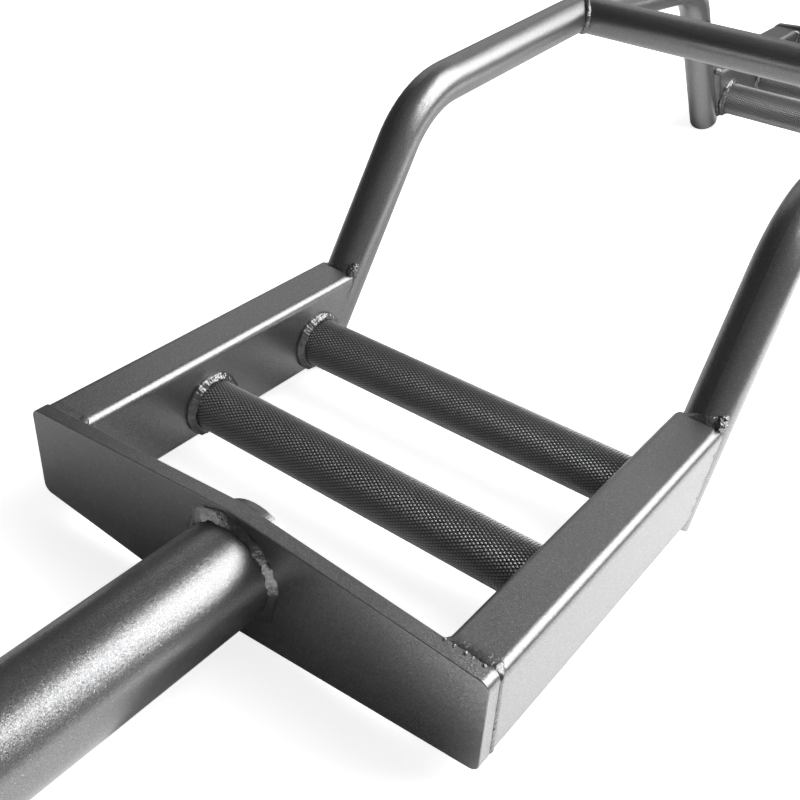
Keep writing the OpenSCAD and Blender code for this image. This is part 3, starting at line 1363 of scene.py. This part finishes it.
@dataclass(frozen=True)
class Floor:
    """A wide white floor that keeps the bar's shadow.

    Its own light whitens it evenly for the camera. Mirror reflections on the bar see a painted
    glow on it in front of the frame, and painted shade on it outside the end plate and towards the
    front horizon.
    """

    size: float = 60.0
    tone: float = 0.9
    seen_lift: float = 0.8
    # A painted glow on the floor that only mirror rays see, in front of the frame.
    mirror_lift: tuple[float, float] = (1.0, 0.0)
    front_soft: float = 12 * MM
    shaft_slope: float = 2.5
    shaft_gap: float = 30 * MM
    # Painted shade on the floor that only mirror rays see, towards the front horizon and outside
    # the end plate, and painted light inside it.
    horizon_y: tuple[float, float] = (-0.6, -0.32)
    horizon_tone: float = 0.15
    outside_tone: float = 0.6
    inside_tone: float = 1.1
    soft_out: float = 20 * MM
    soft_in: float = 10 * MM

    def set_up(self) -> None:
        """Lay the floor."""
        bpy.ops.mesh.primitive_plane_add(size=self.size, location=(0, 0, 0))
        floor = named("Floor")
        material, pen = open_material("White floor")
        rays = pen.add("ShaderNodeLightPath").outputs
        place = pen.add("ShaderNodeTexCoord").outputs["Object"]
        axes = pen.add("ShaderNodeSeparateXYZ", {"Vector": place}).outputs
        x, y = axes["X"], axes["Y"]
        mirror = rays["Is Glossy Ray"]
        # Painted shade for mirror rays: darker towards the front horizon and outside the end
        # plate, lighter inside it.
        horizon = pen.remap(y, self.horizon_y, (self.horizon_tone, 1.0), "SMOOTHSTEP")

        row = pen.remap(y, (0.0, PLAN.frame_half_w), (self.outside_tone, 1.0), "SMOOTHSTEP")
        plate = (-PLAN.plate_out_x - self.soft_out, -PLAN.plate_in_x + self.soft_in)
        outside = pen.remap(x, plate, (row, self.inside_tone), "SMOOTHSTEP")
        dim = {"Factor": mirror, "A": 1.0, "B": pen.maths("MULTIPLY", horizon, outside)}
        shade = pen.add("ShaderNodeMix", dim, data_type="FLOAT").outputs["Result"]
        white = pen.maths("MULTIPLY", shade, self.tone)
        matt = pen.add("ShaderNodeBsdfDiffuse", {"Color": white})

        # A painted glow for mirror rays only, in front of the frame and past the shaft's end.
        end = self.shaft_slope * (PLAN.plate_out_x + self.shaft_gap)
        past_plate = pen.maths("MULTIPLY_ADD", x, self.shaft_slope, end)
        line = pen.maths("ADD", pen.maths("MINIMUM", past_plate, 0.0), y)
        front = (-PLAN.frame_half_w - self.front_soft, -PLAN.frame_half_w + self.front_soft)
        fade = pen.remap(line, front, self.mirror_lift, "SMOOTHSTEP")
        mirrored = pen.maths("MULTIPLY", mirror, pen.maths("MULTIPLY", fade, horizon))
        seen = pen.maths("MAXIMUM", rays["Is Camera Ray"], rays["Is Transmission Ray"])
        lift = pen.maths("MAXIMUM", pen.maths("MULTIPLY", seen, self.seen_lift), mirrored)
        glow = pen.add("ShaderNodeEmission", {"Strength": lift})

        shaders = {0: matt.outputs["BSDF"], 1: glow.outputs["Emission"]}
        both = pen.add("ShaderNodeAddShader", shaders)
        pen.add("ShaderNodeOutputMaterial", {"Surface": both.outputs["Shader"]})
        floor.data.materials.append(material)


@dataclass(frozen=True)
class Room:
    """A plain grey room, darker above and on one side, that the camera sees as white."""

    heights: tuple[float, float] = (0.1, 0.75)
    tones: tuple[float, float] = (0.25, 0.16)
    dark_way: tuple[float, float, float] = (-0.5, 0.87, 0.0)
    dark_from: tuple[float, float] = (-0.3, 0.8)
    dark_side: float = 0.25

    def set_up(self) -> None:
        """Make the world."""
        world = bpy.data.worlds.new("Studio room")
        bpy.context.scene.world = world
        world.use_nodes = True
        pen = NodePen(world.node_tree)
        way = pen.add("ShaderNodeTexCoord").outputs["Generated"]
        height = pen.add("ShaderNodeSeparateXYZ", {"Vector": way}).outputs["Z"]
        tone = pen.remap(height, self.heights, self.tones)
        turned = pen.vectors("DOT_PRODUCT", "Value", way, self.dark_way)
        strength = pen.remap(turned, self.dark_from, (1.0, self.dark_side), "SMOOTHSTEP")
        room = {"Color": tone, "Strength": strength}
        grey = pen.add("ShaderNodeBackground", room).outputs["Background"]
        white = pen.add("ShaderNodeBackground", {"Color": (1, 1, 1, 1)}).outputs["Background"]
        rays = pen.add("ShaderNodeLightPath").outputs
        seen = pen.maths("MAXIMUM", rays["Is Camera Ray"], rays["Is Transmission Ray"])
        shown = pen.add("ShaderNodeMixShader", {0: seen, 1: grey, 2: white})
        pen.add("ShaderNodeOutputWorld", {"Surface": shown.outputs["Shader"]})


@dataclass(frozen=True)
class Studio:
    """Floor, surroundings and lamps."""

    target: tuple[float, float, float] = (-0.3, 0, 0.06)
    softboxes: tuple[Softbox, ...] = (
        Softbox("Key softbox", azimuth=-46, elevation=42, size=1.4, radiance=4.6, distance=1.5),
        Softbox("Side softbox", azimuth=-6, elevation=26, size=0.9, radiance=1.3, distance=2.2),
        Softbox("Rear softbox", azimuth=38, elevation=30, size=1.6, radiance=0.38, distance=2.2),
    )

    def set_up(self) -> None:
        """Make the whole stage."""
        clear_selection()
        bpy.context.scene.view_settings.view_transform = "Standard"
        Floor().set_up()
        Room().set_up()
        for softbox in self.softboxes:
            softbox.set_up(Vector(self.target))


# The bar


@dataclass(frozen=True)
class CamberedBar:
    """The dressed bar, piece by piece."""

    finishes: Finishes

    def build(self) -> None:
        """Build every piece and coat what keeps its own mesh."""
        steel = SteelWork(self.finishes)
        steel.coat_nodes()
        welds = WeldShop(self.finishes)
        for side in Side:
            steel.end_plate(side)
            self.grips(side)
            for lay in (welds.shaft, welds.collar, welds.handles, welds.rails, welds.feet):
                lay(side)
        welds.cross_tube()

    def grips(self, side: Side) -> None:
        """Model both grips of one half.

        Args:
            side: Which half of the bar.
        """
        for x, word in zip(PLAN.handle_xs, ("inner", "outer")):
            grip = KnurledGrip().build(f"{side.word}_{word}_grip", side.value * x)
            self.finishes.hand_over(grip, Slot.KNURL, f"{side.word}_{word}_handle")


def main() -> None:
    """Build the stage and the bar."""
    logging.basicConfig(level=logging.INFO, format="%(message)s")
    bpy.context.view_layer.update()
    View().set_up()
    CamberedBar(Finishes()).build()
    Studio().set_up()


if __name__ == "__main__":
    main()
